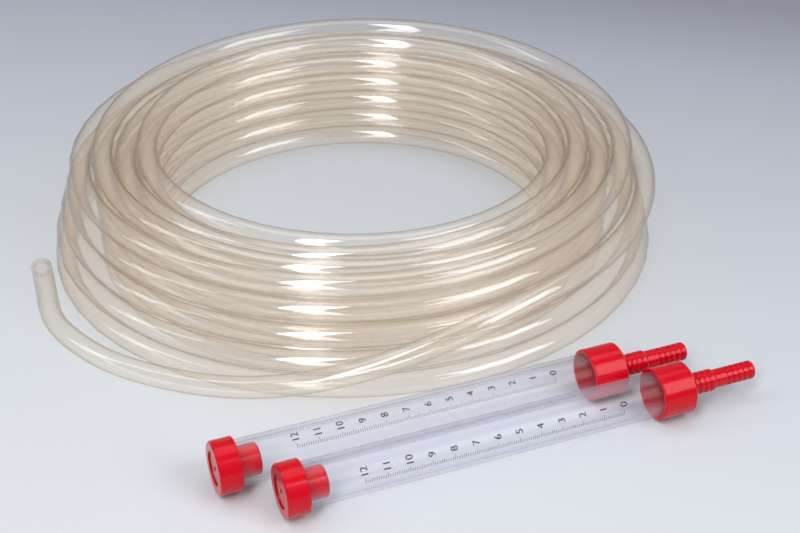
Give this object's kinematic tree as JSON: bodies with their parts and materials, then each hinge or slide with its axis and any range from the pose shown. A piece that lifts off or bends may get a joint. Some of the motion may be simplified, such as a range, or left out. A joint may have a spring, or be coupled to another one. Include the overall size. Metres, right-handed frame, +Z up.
{
  "type": "water level hose",
  "caption": "Water level for setting out: a coil of clear hose, and graduated clear measuring tubes with red stopper caps and ribbed hose nipples, which carry a height from place to place.",
  "frame": {"origin": "on the floor, at the coil's axis", "axes": "+Z up along the coil's axis, +X along the measuring tubes towards their nipples, tubes in front of the coil at -Y"},
  "size_m": [0.3261, 0.3677, 0.0682],
  "materials": {
    "clear_hose": "clear, glossy",
    "clear_tube": "clear, glossy",
    "red_plastic": "glossy"
  },
  "bodies": {
    "hose": {"hose_coil": "clear_hose", "hose_tail": "clear_hose", "hose_end": "clear_hose"},
    "tube_front": {"measuring_tube_front": "clear_tube", "hose_connector_front": "red_plastic"},
    "tube_rear": {"measuring_tube_rear": "clear_tube", "hose_connector_rear": "red_plastic"},
    "cap_front": {"stopper_cap_front": "red_plastic"},
    "cap_rear": {"stopper_cap_rear": "red_plastic"}
  },
  "joints": [
    {"name": "front_tube_lift", "type": "slide", "parent": "hose", "child": "tube_front", "axis": [0, 0, 1], "range_m": [0, 0.1]},
    {"name": "rear_tube_lift", "type": "slide", "parent": "hose", "child": "tube_rear", "axis": [0, 0, 1], "range_m": [0, 0.1]},
    {"name": "front_cap_pull", "type": "slide", "parent": "tube_front", "child": "cap_front", "axis": [-1, 0, 0], "range_m": [0, 0.028]},
    {"name": "rear_cap_pull", "type": "slide", "parent": "tube_rear", "child": "cap_rear", "axis": [-1, 0, 0], "range_m": [0, 0.028]}
  ]
}
